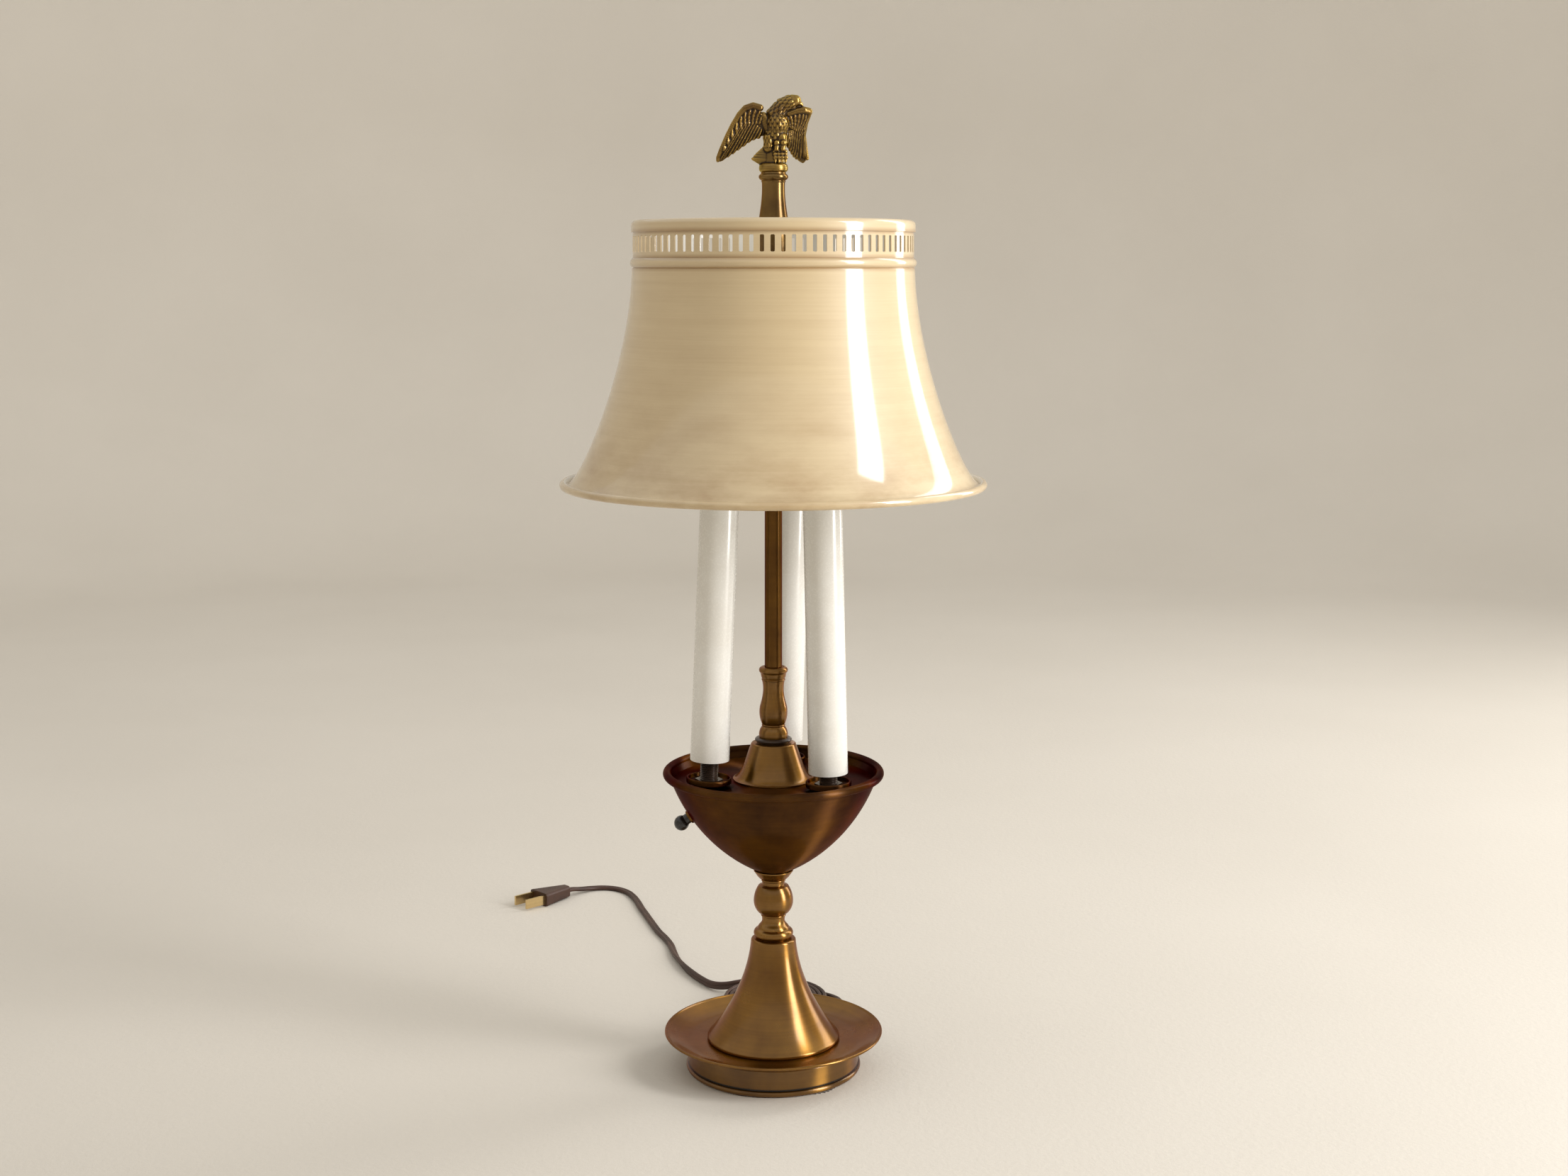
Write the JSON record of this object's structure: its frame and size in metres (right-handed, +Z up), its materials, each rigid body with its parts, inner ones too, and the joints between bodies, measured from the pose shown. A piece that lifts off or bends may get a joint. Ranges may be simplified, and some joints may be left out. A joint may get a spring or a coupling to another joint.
{
  "type": "table lamp",
  "caption": "Table lamp with mock candles on a bowl, a turned brass stem on a belled foot, a flared metal shade with a pierced gallery, and an eagle finial.",
  "frame": {"origin": "on the table, at the bottom of the felt pad, on the lamp's axis", "axes": "+Z up along the lamp's axis; -Y is the front, the side the picture looks at; +X is to the viewer's right"},
  "size_m": [0.3052, 0.4595, 0.5502],
  "materials": {
    "felt": "thick felt with a torn edge",
    "satin_brass": "antique satin, spun",
    "finial_brass": "aged, polished on the high places, dark in the hollows",
    "dark_brass": "antique, browned",
    "brown_metal": "dark brown lacquer",
    "rod_brass": "satin tube",
    "shade_enamel": "cream enamel with tan brush glazing, glossy",
    "steel": "zinc plated",
    "iron": "as cast",
    "socket_white": "moulded",
    "contact_brass": "stamped, bright",
    "candle_white": "glossy moulded tube",
    "black_plastic": "moulded",
    "cord_brown": "flexible vinyl"
  },
  "bodies": {
    "stand": {"felt_pad": "felt", "base_ring": "satin_brass", "saucer": "satin_brass", "bell": "satin_brass", "stem_ball": "satin_brass", "bowl_cup": "satin_brass", "cone": "satin_brass", "neck_vase": "satin_brass", "bowl": "dark_brass", "bowl_plate": "dark_brass", "cone_ring": "brown_metal", "candle_nuts": "brown_metal", "bobeche_left": "brown_metal", "bobeche_right": "brown_metal", "bobeche_back": "brown_metal", "candle_nipple_left": "brown_metal", "candle_nipple_right": "brown_metal", "candle_nipple_back": "brown_metal", "rod": "rod_brass", "shade_seat": "rod_brass", "switch_bushing": "rod_brass", "centre_pipe": "steel", "pipe_nuts": "steel", "socket_strap_left": "steel", "socket_strap_right": "steel", "socket_strap_back": "steel", "base_weight": "iron", "socket_body_left": "socket_white", "socket_body_right": "socket_white", "socket_body_back": "socket_white", "plug_blades": "contact_brass", "socket_shell_left": "contact_brass", "socket_shell_right": "contact_brass", "socket_shell_back": "contact_brass", "socket_contact_left": "contact_brass", "socket_contact_right": "contact_brass", "socket_contact_back": "contact_brass", "switch_body": "black_plastic", "wire_caps": "black_plastic", "cord_tie": "black_plastic", "cord_bushing": "cord_brown", "bowl_leads": "cord_brown", "inner_cord": "cord_brown", "cord_lead": "cord_brown", "cord_coil": "cord_brown", "cord_run": "cord_brown", "plug_body": "cord_brown"},
    "knob": {"switch_knob": "black_plastic"},
    "shade": {"shade_body": "shade_enamel", "shade_gallery": "shade_enamel", "shade_spider": "rod_brass"},
    "finial": {"finial_neck": "finial_brass", "finial_eagle": "finial_brass"},
    "cover_left": {"candle_cover_left": "candle_white"},
    "cover_right": {"candle_cover_right": "candle_white"},
    "cover_back": {"candle_cover_back": "candle_white"}
  },
  "joints": [
    {"name": "switch_turn", "type": "hinge", "parent": "stand", "child": "knob", "pos_m": [-0.04646, 0, 0.14122], "axis": [-0.809, 0, -0.5878], "continuous": true},
    {"name": "shade_lift", "type": "slide", "parent": "stand", "child": "shade", "axis": [0, 0, 1], "range_m": [0, 0.16]},
    {"name": "finial_turn", "type": "hinge", "parent": "shade", "child": "finial", "pos_m": [0, 0, 0.47], "axis": [0, 0, 1], "continuous": true},
    {"name": "cover_lift_left", "type": "slide", "parent": "stand", "child": "cover_left", "axis": [0.0384, 0, 0.9993], "range_m": [0, 0.155]},
    {"name": "cover_lift_right", "type": "slide", "parent": "stand", "child": "cover_right", "axis": [-0.0209, 0, 0.9998], "range_m": [0, 0.155]},
    {"name": "cover_lift_back", "type": "slide", "parent": "stand", "child": "cover_back", "axis": [0.0297, 0, 0.9996], "range_m": [0, 0.155]}
  ]
}
